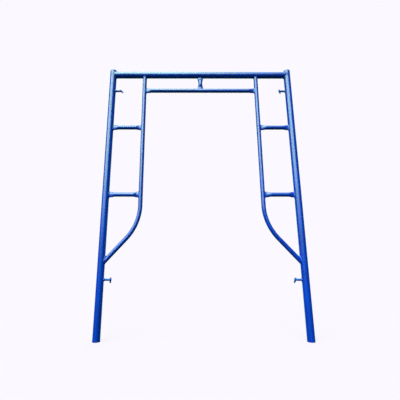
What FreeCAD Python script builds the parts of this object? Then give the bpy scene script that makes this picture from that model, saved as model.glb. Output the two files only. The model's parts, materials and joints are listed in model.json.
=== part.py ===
import FreeCAD, Part
import math
import os

# Walk-through frame section of a tubular steel scaffold, in millimetres.
# +Z is up, +X runs from the left leg to the right leg, and the frame lies in the XZ plane.
# The origin is on the ground, midway between the two legs.

# Overall sizes
FRAME_WIDTH = 1219.2          # outside face of one leg to outside face of the other
FRAME_HEIGHT = 1700.0         # length of a leg
MAIN_OD = 42.9                # outside diameter of the legs and the header
MAIN_WALL = 2.4
BRANCH_OD = 26.7              # outside diameter of the inner legs, rungs, ledger and strut
BRANCH_WALL = 2.0
END_CHAMFER = 0.6             # deburred outer edge at each end of a leg

# Places of the horizontal members, each measured down from the piece above it
HEADER_DROP = 31.0            # top of the legs to the header's axis
LEDGER_DROP = 118.5           # header's axis to the ledger's axis
UPPER_RUNG_DROP = 388.0       # header's axis to the upper rungs' axis
LOWER_RUNG_DROP = 837.0       # header's axis to the lower rungs' axis
STUD_DROP = 152.8             # top of the legs to the upper brace studs
STUD_SPACING = 1219.2         # upper brace stud to lower brace stud

# Inner legs: straight down from the header, then bent outwards to the main leg
INNER_OFFSET = 214.0          # leg's axis to the inner leg's axis
BEND_DROP = 67.0              # lower rungs' axis to the start of the bend
BEND_RADIUS = 300.0           # radius of the bend at the tube's axis
BEND_ANGLE = 42.0             # turn of the bend, in degrees

# Pressed oval ends of the rungs, ledger and strut
OVAL_THICKNESS = 12.0         # across the pressed end
OVAL_LENGTH = 6.0             # stretch of constant oval beyond the tube that it meets
OVAL_TAPER = 30.0             # stretch in which the oval turns into the round tube
TAPER_STEPS = 8

# Brace studs, with a gravity lock riveted in a slot at the free end of each
STUD_DIAMETER = 12.7
STUD_REACH = 42.5             # leg's surface to the end of the stud
STUD_CHAMFER = 1.0
STUD_ROOT_DIAMETER = 9.0      # at the foot of the bevel, which the weld fills
STUD_BEVEL = 4.5              # leg's surface to the top of the bevel
STUD_HEAD_RELIEF = 0.25       # radial, so that the slotted end slips through a brace's hole
PIVOT_INSET = 5.0             # end of the stud to the lock's pivot
LOCK_THICKNESS = 3.0
LOCK_WIDTH = 9.5
LOCK_LONG_ARM = 19.0          # pivot to the heavy tip
LOCK_SHORT_ARM = 13.0         # pivot to the light tip
LOCK_EDGE_ROUND = 0.5
LOCK_SIDE_GAP = 0.3           # between the lock and each cheek of the slot
LOCK_TIP_GAP = 1.5            # between the short arm and the bottom of the slot
RIVET_DIAMETER = 4.0
RIVET_CLEARANCE = 0.08        # radial, between the rivet and the lock's hole

# Angle of each lock from hanging straight down, in degrees, positive away from its leg
LOCK_TILT = {
    "upper_left": 45.0,
    "upper_right": -12.0,
    "lower_left": 0.0,
    "lower_right": 20.0,
}

# Weld beads round each joint
MAIN_BEAD = 3.0               # radius of the round bead on the header's joints
BRANCH_BEAD = 4.0             # hollow radius of the bead on the thinner tubes
STUD_BEAD = 3.5               # hollow radius of the bead round a stud
WELD_STUB = 2.0               # length of bar taken each way of a joint, in sums of the two radii
WELD_RUN_OUT = 2.0            # how far a header bead is drawn past its trimming plane, in bead radii
TOUCH = 0.001                 # how near a surface a point lies to be on it

# Worked-out sizes
MAIN_R = MAIN_OD / 2
BRANCH_R = BRANCH_OD / 2
STUD_R = STUD_DIAMETER / 2
RIVET_R = RIVET_DIAMETER / 2
LEG_X = FRAME_WIDTH / 2 - MAIN_R
INNER_X = LEG_X - INNER_OFFSET
HEADER_Z = FRAME_HEIGHT - HEADER_DROP
LEDGER_Z = HEADER_Z - LEDGER_DROP
RUNG_Z = {"upper": HEADER_Z - UPPER_RUNG_DROP, "lower": HEADER_Z - LOWER_RUNG_DROP}
STUD_Z = {
    "upper": FRAME_HEIGHT - STUD_DROP,
    "lower": FRAME_HEIGHT - STUD_DROP - STUD_SPACING,
}
BEND_Z = RUNG_Z["lower"] - BEND_DROP
SLOT_WIDTH = LOCK_THICKNESS + 2 * LOCK_SIDE_GAP
SLOT_DEPTH = PIVOT_INSET + LOCK_SHORT_ARM + LOCK_TIP_GAP
SIDES = {"left": -1, "right": 1}
LEVELS = ("upper", "lower")
FULL_TURN = 360

V = FreeCAD.Vector
X_DIR = V(1, 0, 0)
Y_DIR = V(0, 1, 0)
Z_DIR = V(0, 0, 1)


def save(name, shape):
    """Writes one sub-part as parts/NAME.step."""
    shape.exportStep("parts/" + name + ".step")


def rod(start, end, radius):
    """A solid cylinder from one point to another."""
    run = end - start
    return Part.makeCylinder(radius, run.Length, start, run)


def leg_axis(side):
    """The two ends of a main leg's axis."""
    return V(side * LEG_X, 0, 0), V(side * LEG_X, 0, FRAME_HEIGHT)


def leg_envelope(side):
    """A main leg as a solid bar, for coping what is welded to it."""
    return rod(*leg_axis(side), MAIN_R)


def header_envelope():
    """The header as a solid bar from one leg's axis to the other's."""
    return rod(V(-LEG_X, 0, HEADER_Z), V(LEG_X, 0, HEADER_Z), MAIN_R)


def leg(side):
    """A main leg: an open tube with deburred outer edges."""
    bar = leg_envelope(side)
    rims = [edge for edge in bar.Edges if len(edge.Vertexes) == 1]
    bar = bar.makeChamfer(END_CHAMFER, rims)
    return bar.cut(rod(*leg_axis(side), MAIN_R - MAIN_WALL))


def header():
    """The top tube, coped to fit between the two legs."""
    bore = rod(V(-LEG_X, 0, HEADER_Z), V(LEG_X, 0, HEADER_Z), MAIN_R - MAIN_WALL)
    tube = header_envelope().cut(bore)
    return tube.cut(leg_envelope(-1)).cut(leg_envelope(1))


def inner_foot_direction(side):
    """The direction of an inner leg's lowest, slanted run."""
    turn = math.radians(BEND_ANGLE)
    return V(side * math.sin(turn), 0, -math.cos(turn))


def inner_bend_end(side):
    """The point on an inner leg's axis where the bend ends."""
    turn = math.radians(BEND_ANGLE)
    out = BEND_RADIUS * (1 - math.cos(turn))
    down = BEND_RADIUS * math.sin(turn)
    return V(side * (INNER_X + out), 0, BEND_Z - down)


def inner_foot(side):
    """The point where an inner leg's axis meets the main leg's axis."""
    bend_end = inner_bend_end(side)
    run = (LEG_X - abs(bend_end.x)) / math.sin(math.radians(BEND_ANGLE))
    return bend_end + inner_foot_direction(side) * run


def bent_bar(side, radius):
    """A solid bar along an inner leg's axis: a straight run, an arc and a slanted run."""
    bend_start = V(side * INNER_X, 0, BEND_Z)
    upright = rod(V(side * INNER_X, 0, HEADER_Z), bend_start, radius)
    centre = V(side * (INNER_X + BEND_RADIUS), 0, BEND_Z)
    section = Part.Face(Part.Wire(Part.makeCircle(radius, bend_start, Z_DIR)))
    elbow = section.revolve(centre, Y_DIR * -side, BEND_ANGLE)
    slanted = rod(inner_bend_end(side), inner_foot(side), radius)
    return upright.fuse([elbow, slanted]).removeSplitter()


def inner_leg(side):
    """An inner leg: a bent tube coped under the header and against the main leg."""
    tube = bent_bar(side, BRANCH_R).cut(bent_bar(side, BRANCH_R - BRANCH_WALL))
    return tube.cut(header_envelope()).cut(leg_envelope(side))


def oval_half_axes(fraction, wall=0.0):
    """Half width and half thickness of a pressed section, from oval (0) to round (1).

    The sum of their squares stays the same, so that the wall keeps its length round the tube.
    """
    ease = (1 - math.cos(math.pi * fraction)) / 2
    thin = OVAL_THICKNESS / 2 + (BRANCH_R - OVAL_THICKNESS / 2) * ease
    wide = math.sqrt(2 * BRANCH_R ** 2 - thin ** 2)
    return max(wide, thin) - wall, thin - wall


def pressed_bar(start, end, wide_dir, start_r, end_r, wall=0.0):
    """A solid bar with both ends pressed oval, wide along wide_dir.

    start_r and end_r are the radii of the tubes that it meets, whose axes it starts and ends on.
    """
    axis = (end - start).normalize()
    length = (end - start).Length
    steps = [step / TAPER_STEPS for step in range(TAPER_STEPS + 1)]
    first = [(start_r + OVAL_LENGTH + OVAL_TAPER * step, step) for step in steps]
    last = [(length - end_r - OVAL_LENGTH - OVAL_TAPER * step, step) for step in reversed(steps)]
    stations = [(0.0, 0.0)] + first + last + [(length, 0.0)]
    sections = []
    for distance, fraction in stations:
        centre = start + axis * distance
        wide, thin = oval_half_axes(fraction, wall)
        oval = Part.Ellipse(centre, wide, thin)
        oval.Axis = axis
        oval.XAxis = wide_dir
        sections.append(Part.Wire(oval.toShape()))
    return Part.makeLoft(sections, True, True)


def pressed_tube(start, end, wide_dir, start_r, end_r):
    """A hollow pressed-end tube, not yet coped."""
    outside = pressed_bar(start, end, wide_dir, start_r, end_r)
    return outside.cut(pressed_bar(start, end, wide_dir, start_r, end_r, BRANCH_WALL))


def rung_ends(side, level):
    """A rung's ends, on the axes of the main leg and the inner leg."""
    return V(side * LEG_X, 0, RUNG_Z[level]), V(side * INNER_X, 0, RUNG_Z[level])


def rung(side, level):
    """A rung between a main leg and its inner leg, pressed tall at both ends."""
    tube = pressed_tube(*rung_ends(side, level), Z_DIR, MAIN_R, BRANCH_R)
    return tube.cut(leg_envelope(side)).cut(bent_bar(side, BRANCH_R))


def ledger():
    """The tube between the two inner legs, pressed tall at both ends."""
    ends = V(-INNER_X, 0, LEDGER_Z), V(INNER_X, 0, LEDGER_Z)
    tube = pressed_tube(*ends, Z_DIR, BRANCH_R, BRANCH_R)
    return tube.cut(bent_bar(-1, BRANCH_R)).cut(bent_bar(1, BRANCH_R))


def ledger_envelope():
    """The ledger's round middle as a solid bar, for coping the strut."""
    return rod(V(-INNER_X, 0, LEDGER_Z), V(INNER_X, 0, LEDGER_Z), BRANCH_R)


def strut():
    """The short upright between the header and the ledger, pressed wide along them."""
    tube = pressed_tube(V(0, 0, HEADER_Z), V(0, 0, LEDGER_Z), X_DIR, MAIN_R, BRANCH_R)
    return tube.cut(header_envelope()).cut(ledger_envelope())


def stud_point(side, level, reach):
    """A point on a stud's axis, a given distance out of the leg's surface."""
    return V(side * (LEG_X - MAIN_R - reach), 0, STUD_Z[level])


def stud_envelope(side, level):
    """A stud as a turned solid bar: bevelled root, seat for a brace, and relieved end."""
    seat_end = STUD_REACH - SLOT_DEPTH
    root_r = STUD_ROOT_DIAMETER / 2
    head_r = STUD_R - STUD_HEAD_RELIEF
    profile = [
        (-MAIN_R, 0),
        (-MAIN_R, root_r),
        (0, root_r),
        (STUD_BEVEL, STUD_R),
        (seat_end, STUD_R),
        (seat_end, head_r),
        (STUD_REACH - STUD_CHAMFER, head_r),
        (STUD_REACH, head_r - STUD_CHAMFER),
        (STUD_REACH, 0),
    ]
    points = [stud_point(side, level, reach) + Z_DIR * radius for reach, radius in profile]
    face = Part.Face(Part.makePolygon(points + points[:1]))
    return face.revolve(stud_point(side, level, 0), X_DIR, FULL_TURN)


def pivot(side, level):
    """The centre of a lock's pivot."""
    return stud_point(side, level, STUD_REACH - PIVOT_INSET)


def rivet_bar(side, level, radius):
    """A bar along a lock's pivot, as long as the stud is thick."""
    centre = pivot(side, level)
    return rod(centre - Y_DIR * STUD_R, centre + Y_DIR * STUD_R, radius)


def brace_stud(side, level):
    """A stud with an upright slot in its free end and a cross hole for the rivet."""
    slot = Part.makeBox(SLOT_DEPTH, SLOT_WIDTH, STUD_DIAMETER)
    slot_ends = [stud_point(side, level, STUD_REACH - depth).x for depth in (0, SLOT_DEPTH)]
    slot.translate(V(min(slot_ends), -SLOT_WIDTH / 2, STUD_Z[level] - STUD_R))
    stud = stud_envelope(side, level).cut(leg_envelope(side))
    return stud.cut(slot).cut(rivet_bar(side, level, RIVET_R))


def lock_rivet(side, level):
    """A rivet through the stud's two cheeks, dressed flush with the round of the stud."""
    return rivet_bar(side, level, RIVET_R).common(stud_envelope(side, level))


def lock(side, level, tilt):
    """A flat round-ended bar on the rivet, with its long arm hanging at the given tilt."""
    radius = LOCK_WIDTH / 2
    top = LOCK_SHORT_ARM - radius
    bottom = radius - LOCK_LONG_ARM
    back = V(0, -LOCK_THICKNESS / 2, 0)
    outline = Part.Wire(
        [
            Part.makeLine(V(-radius, 0, bottom), V(-radius, 0, top)),
            Part.Arc(V(-radius, 0, top), V(0, 0, LOCK_SHORT_ARM), V(radius, 0, top)).toShape(),
            Part.makeLine(V(radius, 0, top), V(radius, 0, bottom)),
            Part.Arc(V(radius, 0, bottom), V(0, 0, -LOCK_LONG_ARM), V(-radius, 0, bottom)).toShape(),
        ]
    )
    outline.translate(back)
    plate = Part.Face(outline).extrude(Y_DIR * LOCK_THICKNESS)
    rims = [edge for edge in plate.Edges if abs(edge.CenterOfMass.y) > LOCK_THICKNESS / 4]
    plate = plate.makeFillet(LOCK_EDGE_ROUND, rims)
    hole_r = RIVET_R + RIVET_CLEARANCE
    plate = plate.cut(rod(V(0, -LOCK_THICKNESS, 0), V(0, LOCK_THICKNESS, 0), hole_r))
    plate.rotate(V(0, 0, 0), Y_DIR, side * tilt)
    plate.translate(pivot(side, level))
    return plate


def oval_prism(start, axis, wide_dir, wide, thin, length):
    """A solid bar of oval section, run out from start along axis."""
    oval = Part.Ellipse(start, wide, thin)
    oval.Axis = axis
    oval.XAxis = wide_dir
    return Part.Face(Part.Wire(oval.toShape())).extrude(axis * length)


def filleted_joint(start, axis, wide_dir, wide, thin, main_dir, main_r, size):
    """Short solid lengths of a main tube and a branch, joined, without and with a filled corner.

    The two axes cross at start. The branch leaves along axis, and its section has the half axes
    wide, along wide_dir, and thin. The filled corner is hollow-faced and goes all round.
    """
    stub = WELD_STUB * (main_r + wide)
    main_bar = rod(start - main_dir * stub, start + main_dir * stub, main_r)
    branch_bar = oval_prism(start, axis, wide_dir, wide, thin, stub)
    thin_dir = axis.cross(wide_dir)
    joint = main_bar.fuse(branch_bar)
    corner = []
    for edge in joint.Edges:
        middle = edge.valueAt((edge.FirstParameter + edge.LastParameter) / 2) - start
        off_main = (middle - main_dir * middle.dot(main_dir)).Length - main_r
        off_branch = math.hypot(middle.dot(wide_dir) / wide, middle.dot(thin_dir) / thin) - 1
        if abs(off_main) < TOUCH and abs(off_branch) < TOUCH:
            corner.append(edge)
    return joint, joint.makeFillet(size, corner)


def fillet_weld(*sizes):
    """The weld bead in the corner between a main tube and a branch."""
    joint, filled = filleted_joint(*sizes)
    return filled.cut(joint)


def header_weld(side):
    """The beads round one end of the header, as an upper and a lower half.

    The leg and the header are equally thick, so they meet along two half ellipses in slanted
    planes, and each bead is a round bar along one of them, trimmed by both tubes.
    """
    joint = V(side * LEG_X, 0, HEADER_Z)
    long_half = MAIN_R * math.sqrt(2)
    quarter = math.pi / 2 + WELD_RUN_OUT * MAIN_BEAD / long_half
    block = 2 * MAIN_OD
    beads = []
    for up in (1, -1):
        slant = V(-side, 0, up).normalize()
        ellipse = Part.Ellipse(joint, long_half, MAIN_R)
        ellipse.Axis = slant.cross(Y_DIR)
        ellipse.XAxis = slant
        arc = Part.ArcOfEllipse(ellipse, -quarter, quarter).toShape()
        first = arc.FirstParameter
        section = Part.Wire(Part.makeCircle(MAIN_BEAD, arc.valueAt(first), arc.tangentAt(first)))
        bar = Part.Wire(arc).makePipeShell([section], True, False)
        other_half = Part.makeBox(block, block, block / 2)
        other_half.translate(joint - V(block / 2, block / 2, block / 2 * (up + 1) / 2))
        beads += bar.cut(leg_envelope(side)).cut(header_envelope()).cut(other_half).Solids
    return Part.makeCompound(beads)


def inner_top_weld(side):
    """The bead where an inner leg meets the header."""
    start = V(side * INNER_X, 0, HEADER_Z)
    return fillet_weld(start, Z_DIR * -1, X_DIR, BRANCH_R, BRANCH_R, X_DIR, MAIN_R, BRANCH_BEAD)


def inner_foot_weld(side):
    """The bead where an inner leg's slanted run meets the main leg."""
    up = inner_foot_direction(side) * -1
    start = inner_foot(side)
    return fillet_weld(start, up, Y_DIR, BRANCH_R, BRANCH_R, Z_DIR, MAIN_R, BRANCH_BEAD)


def pressed_end_weld(start, axis, wide_dir, main_r):
    """The bead round a pressed oval end, which lies wide along the tube that it meets."""
    wide, thin = oval_half_axes(0.0)
    return fillet_weld(start, axis, wide_dir, wide, thin, wide_dir, main_r, BRANCH_BEAD)


def rung_outer_weld(side, level):
    """The bead where a rung meets the main leg."""
    return pressed_end_weld(rung_ends(side, level)[0], X_DIR * -side, Z_DIR, MAIN_R)


def rung_inner_weld(side, level):
    """The bead where a rung meets the inner leg."""
    return pressed_end_weld(rung_ends(side, level)[1], X_DIR * side, Z_DIR, BRANCH_R)


def ledger_weld(side):
    """The bead where one end of the ledger meets an inner leg."""
    return pressed_end_weld(V(side * INNER_X, 0, LEDGER_Z), X_DIR * -side, Z_DIR, BRANCH_R)


def strut_top_weld():
    """The bead where the strut meets the header."""
    return pressed_end_weld(V(0, 0, HEADER_Z), Z_DIR * -1, X_DIR, MAIN_R)


def strut_foot_weld():
    """The bead where the strut meets the ledger."""
    return pressed_end_weld(V(0, 0, LEDGER_Z), Z_DIR, X_DIR, BRANCH_R)


def stud_weld(side, level):
    """The bead round the root of a stud, which also fills its bevel."""
    start = V(side * LEG_X, 0, STUD_Z[level])
    inward = X_DIR * -side
    filled = filleted_joint(start, inward, Z_DIR, STUD_R, STUD_R, Z_DIR, MAIN_R, STUD_BEAD)[1]
    filled = filled.common(rod(start, stud_point(side, level, STUD_BEVEL), MAIN_R))
    return filled.cut(leg_envelope(side)).cut(stud_envelope(side, level))


os.makedirs("parts", exist_ok=True)

save("header", header())
save("ledger", ledger())
save("header_strut", strut())
save("weld_strut_top", strut_top_weld())
save("weld_strut_foot", strut_foot_weld())
for side_name, side_sign in SIDES.items():
    save("leg_" + side_name, leg(side_sign))
    save("inner_leg_" + side_name, inner_leg(side_sign))
    save("weld_header_" + side_name, header_weld(side_sign))
    save("weld_inner_top_" + side_name, inner_top_weld(side_sign))
    save("weld_inner_foot_" + side_name, inner_foot_weld(side_sign))
    save("weld_ledger_" + side_name, ledger_weld(side_sign))
    for level_name in LEVELS:
        place = level_name + "_" + side_name
        save("rung_" + place, rung(side_sign, level_name))
        save("brace_stud_" + place, brace_stud(side_sign, level_name))
        save("lock_rivet_" + place, lock_rivet(side_sign, level_name))
        save("lock_" + place, lock(side_sign, level_name, LOCK_TILT[place]))
        save("weld_rung_outer_" + place, rung_outer_weld(side_sign, level_name))
        save("weld_rung_inner_" + place, rung_inner_weld(side_sign, level_name))
        save("weld_stud_" + place, stud_weld(side_sign, level_name))
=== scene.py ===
import json
import math
import bpy
import numpy as np
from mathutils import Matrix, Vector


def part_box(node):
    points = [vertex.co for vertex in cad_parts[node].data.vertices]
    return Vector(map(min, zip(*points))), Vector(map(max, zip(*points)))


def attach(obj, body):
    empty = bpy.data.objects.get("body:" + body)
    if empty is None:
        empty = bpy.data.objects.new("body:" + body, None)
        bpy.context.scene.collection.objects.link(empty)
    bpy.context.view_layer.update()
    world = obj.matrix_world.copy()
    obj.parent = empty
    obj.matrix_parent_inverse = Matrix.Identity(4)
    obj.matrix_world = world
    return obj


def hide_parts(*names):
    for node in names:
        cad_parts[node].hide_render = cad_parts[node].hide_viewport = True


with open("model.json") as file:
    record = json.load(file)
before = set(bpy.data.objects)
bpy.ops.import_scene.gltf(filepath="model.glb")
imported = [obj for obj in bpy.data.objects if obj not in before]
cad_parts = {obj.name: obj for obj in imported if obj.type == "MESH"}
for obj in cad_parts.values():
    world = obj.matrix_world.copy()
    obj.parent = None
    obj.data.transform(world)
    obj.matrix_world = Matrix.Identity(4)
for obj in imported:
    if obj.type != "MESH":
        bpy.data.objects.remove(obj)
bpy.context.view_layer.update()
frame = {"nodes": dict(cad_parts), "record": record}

# Finished surfaces of a walk-through scaffold frame section, in metres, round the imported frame.
# +Z is up, the frame lies in the XZ plane, and the viewer stands on the -Y side.

nodes = frame["nodes"]
SIDES = {"left": -1, "right": 1}
LEVELS = ("upper", "lower")
PLACES = [(level + "_" + side, sign, level) for side, sign in SIDES.items() for level in LEVELS]


# ---------------------------------------------------------------- sizes read from the frame

def middle(node):
    """The centre of a node's box."""
    low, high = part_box(node)
    return (low + high) / 2


def socket_radius():
    """The bore of a leg, from the record's mount."""
    for mount in frame["record"]["mounts"]:
        if mount["name"] == "leg_left_top_socket":
            return mount["dims"]["r_mm"] / 1000


leg_low, leg_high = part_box("leg_left")
ledger_low, ledger_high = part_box("ledger")
MAIN_R = (leg_high.x - leg_low.x) / 2
BORE_R = socket_radius()
BRANCH_R = (ledger_high.y - ledger_low.y) / 2
LEG_X = -middle("leg_left").x
LEG_TOP = leg_high.z
INNER_X = BRANCH_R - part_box("inner_leg_left")[1].x
HEADER_Z = middle("header").z
LEDGER_Z = middle("ledger").z
RUNG_Z = {level: middle("rung_" + level + "_left").z for level in LEVELS}
STUD_Z = {level: middle("brace_stud_" + level + "_left").z for level in LEVELS}
stud_low, stud_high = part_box("brace_stud_upper_left")
STUD_R = (stud_high.z - stud_low.z) / 2

# Sizes that the boxes don't give
BRANCH_WALL = 0.0020
BEND_START = 0.067            # lower rungs' axis down to the start of the bend
BEND_RADIUS = 0.300
BEND_ANGLE = math.radians(42.0)
BEND_FLATTENING = 0.00035     # how much thinner the tube gets across the middle of its bend
OVAL_THIN = 0.0060            # half thickness of a pressed tube end
OVAL_LENGTH = 0.006
OVAL_TAPER = 0.030
STUD_BEVEL = 0.0045           # the weld's height up the stud
RIM_ROUND = 0.0006            # rounded edge of a leg's cut end
SEAM_HEIGHT = 0.0005          # welded seam inside each leg
SEAM_WIDTH = 0.0016
TUBE_WAVE = 0.00012           # how far a leg's skin wanders from a true cylinder
WAVE_PITCH = 0.23
WAVE_FADE = 0.05              # length at each end over which the wave dies away
WAVE_LEAN = 0.02              # how far the wave runs ahead at one side of a leg
CREASE_ANGLE = math.radians(50)

# Rows of points along a tube, and columns round it
LEG_ROWS = 170
LEG_BORE_ROWS = 60
INNER_LEG_ROWS = 230
HEADER_ROWS = 150
LEDGER_ROWS = 240
RUNG_ROWS = 80
STRUT_ROWS = 60
MAIN_COLUMNS = 96
BRANCH_COLUMNS = 64

X_DIR = np.array([1.0, 0.0, 0.0])
Y_DIR = np.array([0.0, 1.0, 0.0])
Z_DIR = np.array([0.0, 0.0, 1.0])


# ---------------------------------------------------------------- mesh helpers

def point(x, y, z):
    """A place as a numpy vector."""
    return np.array([x, y, z], float)


def unit(vectors):
    """Vectors, along the last axis, brought to length one."""
    return vectors / np.linalg.norm(vectors, axis=-1, keepdims=True)


def turn(count):
    """Evenly spaced angles round one full turn."""
    return np.linspace(0.0, 2 * math.pi, count, endpoint=False)


def wander(along, seed, pitch):
    """A smooth uneven line between -1 and 1: the mean of five sines of unrelated lengths near pitch."""
    sines = 5
    draw = np.random.default_rng(seed)
    lengths = pitch * draw.uniform(0.5, 1.9, sines)
    starts = draw.uniform(0, 2 * math.pi, sines)
    waves = [np.sin(2 * math.pi * along / length + start) for length, start in zip(lengths, starts)]
    return sum(waves) / len(waves)


def ring_faces(rows, columns):
    """Corner numbers of the quads of a grid that meets itself both ways."""
    row, column = np.meshgrid(np.arange(rows), np.arange(columns), indexing="ij")
    next_row = (row + 1) % rows
    next_column = (column + 1) % columns
    corners = (row * columns + column, row * columns + next_column,
               next_row * columns + next_column, next_row * columns + column)
    return np.stack(corners, axis=-1).reshape(-1, 4)


def signed_volume(points, faces):
    """Six times the volume inside the faces, positive where they face outwards: each face is a fan
    of triangles, and a triangle adds the product of its corners."""
    total = 0.0
    for last in range(2, faces.shape[1]):
        a, b, c = (points[faces[:, corner]] for corner in (0, last - 1, last))
        total += np.einsum("ij,ij->i", np.cross(a, b), c).sum()
    return total


def fill_mesh(mesh, points, quads, fans):
    """Puts whole arrays of points, quads and triangles into a mesh.

    It is shaded smooth, and creased where it turns sharply.
    """
    corners = np.concatenate((quads.ravel(), fans.ravel())).astype(np.int32)
    starts = np.concatenate((np.arange(0, quads.size, 4), quads.size + np.arange(0, fans.size, 3)))
    mesh.vertices.add(len(points))
    mesh.vertices.foreach_set("co", points.astype(np.float32).ravel())
    mesh.loops.add(len(corners))
    mesh.loops.foreach_set("vertex_index", corners)
    mesh.polygons.add(len(starts))
    mesh.polygons.foreach_set("loop_start", starts.astype(np.int32))
    mesh.update(calc_edges=True)
    mesh.validate()
    mesh.polygons.foreach_set("use_smooth", np.ones(len(mesh.polygons), bool))
    mesh.set_sharp_from_angle(angle=CREASE_ANGLE)


def new_piece(name, points, quads, fans, material, stands_for):
    """A finished piece that rides on the frame, and hides the CAD nodes that it stands for."""
    mesh = bpy.data.meshes.new(name)
    fill_mesh(mesh, points, quads, fans)
    piece = bpy.data.objects.new(name, mesh)
    bpy.context.collection.objects.link(piece)
    mesh.materials.append(material)
    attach(piece, "frame")
    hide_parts(*stands_for)
    return piece


def closed_skin(name, grid, material, slot_name, *stands_for):
    """One piece from a grid of points (rows, columns, 3) that is closed both ways like a ring."""
    rows, columns = grid.shape[:2]
    points = grid.reshape(-1, 3)
    quads = ring_faces(rows, columns)
    if signed_volume(points - points.mean(axis=0), quads) < 0:
        quads = quads[:, ::-1]
    return new_piece(name, points, quads, np.empty((0, 3), int), material, stands_for)


def capped_skin(name, grid, poles, material, slot_name, *stands_for):
    """One piece from a grid whose columns run round, closed by a fan of triangles to a pole at each end."""
    rows, columns = grid.shape[:2]
    points = np.vstack((grid.reshape(-1, 3), poles))
    quads = ring_faces(rows, columns)[: (rows - 1) * columns]
    here = np.arange(columns)
    after = (here + 1) % columns
    first_pole = np.full(columns, rows * columns)
    start_fan = np.stack((after, here, first_pole), axis=1)
    end_row = (rows - 1) * columns
    end_fan = np.stack((end_row + here, end_row + after, first_pole + 1), axis=1)
    fans = np.vstack((start_fan, end_fan))
    centred = points - points.mean(axis=0)
    if signed_volume(centred, quads) + signed_volume(centred, fans) < 0:
        quads, fans = quads[:, ::-1], fans[:, ::-1]
    return new_piece(name, points, quads, fans, material, stands_for)


# ---------------------------------------------------------------- tubes

def revolved(centre, radii, heights, columns):
    """A closed profile turned about an upright axis: x and y are the radius times cosine and sine."""
    angle = turn(columns)[None, :]
    radii = np.broadcast_to(radii, (len(heights), columns))
    x = centre[0] + radii * np.cos(angle)
    y = centre[1] + radii * np.sin(angle)
    z = np.broadcast_to(np.asarray(heights)[:, None], x.shape)
    return np.stack((x, y, z), axis=-1)


def quarter_round(size, steps=5):
    """Offsets (inwards, upwards) of a rounded corner: one minus cosine, and sine, of a quarter turn."""
    angle = np.linspace(0, math.pi / 2, steps)
    return size * (1 - np.cos(angle)), size * np.sin(angle)


def leg_grid(sign, seed):
    """An open tube: outer skin, rounded top rim, bore with its welded seam, and rounded bottom rim.

    The outer radius is the tube's own plus a slow wave along and round it. The bore's radius is
    less a bell curve of the angle from the seam.
    """
    angle = turn(MAIN_COLUMNS)[None, :]
    inwards, upwards = quarter_round(RIM_ROUND)
    skin_z = np.linspace(RIM_ROUND, LEG_TOP - RIM_ROUND, LEG_ROWS)
    fade = np.clip(np.minimum(skin_z, LEG_TOP - skin_z) / WAVE_FADE, 0, 1)[:, None]
    wave = wander(skin_z[:, None] + WAVE_LEAN * np.sin(angle + seed), seed, WAVE_PITCH)
    outer = MAIN_R + TUBE_WAVE * fade * (wave - 1)
    top_z = LEG_TOP - RIM_ROUND + upwards
    rim_r = (MAIN_R - inwards)[:, None] + 0 * angle
    bore_z = np.linspace(LEG_TOP - RIM_ROUND / 2, RIM_ROUND / 2, LEG_BORE_ROWS)
    seam = np.exp(-((np.angle(np.exp(1j * (angle - seed)))) * BORE_R / SEAM_WIDTH) ** 2)
    bore_r = BORE_R - SEAM_HEIGHT * seam * np.ones((LEG_BORE_ROWS, 1))
    edge_r = BORE_R + RIM_ROUND / 2 + 0 * angle
    radii = np.vstack((outer, rim_r[1:], edge_r, bore_r, edge_r, rim_r[:0:-1]))
    bottom_z = (RIM_ROUND - upwards)[:0:-1]
    heights = np.concatenate((skin_z, top_z[1:], [LEG_TOP], bore_z, [0.0], bottom_z))
    return revolved((sign * LEG_X, 0.0), radii, heights, MAIN_COLUMNS)


def cut_distance(offset, axis, main_dir, main_r):
    """How far along axis a line, offset from it, reaches the skin of a main tube.

    The main tube's axis passes through the start. The distance s solves |offset + s axis| = main
    radius, both taken square to the main tube: a quadratic with the larger root.
    """
    across = offset - (offset @ main_dir)[..., None] * main_dir
    step = axis - (axis @ main_dir) * main_dir
    square = step @ step
    linear = 2 * across @ step
    constant = (across * across).sum(axis=-1) - main_r ** 2
    return (-linear + np.sqrt(linear ** 2 - 4 * square * constant)) / (2 * square)


def oval_half_axes(fraction):
    """Wide and thin half axes of a pressed section, from oval (0) to round (1), as CAD presses it.

    The thin one eases from the pressed thickness to the radius by a half cosine, and the sum of
    the two squares stays twice the radius squared.
    """
    ease = (1 - np.cos(math.pi * np.clip(fraction, 0, 1))) / 2
    thin = OVAL_THIN + (BRANCH_R - OVAL_THIN) * ease
    return np.sqrt(2 * BRANCH_R ** 2 - thin ** 2), thin


def round_tube(radius):
    """A section that stays round: half axes of one radius everywhere."""
    return lambda distance: (radius + 0 * distance, radius + 0 * distance)


def pressed_tube(length, start_r, end_r):
    """A section pressed oval at both ends: half axes by the nearer end's distance along the taper."""
    def half_axes(distance):
        """Wide and thin half axes at a distance from the start."""
        from_start = distance - start_r - OVAL_LENGTH
        from_end = length - distance - end_r - OVAL_LENGTH
        return oval_half_axes(np.minimum(from_start, from_end) / OVAL_TAPER)
    return half_axes


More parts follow.
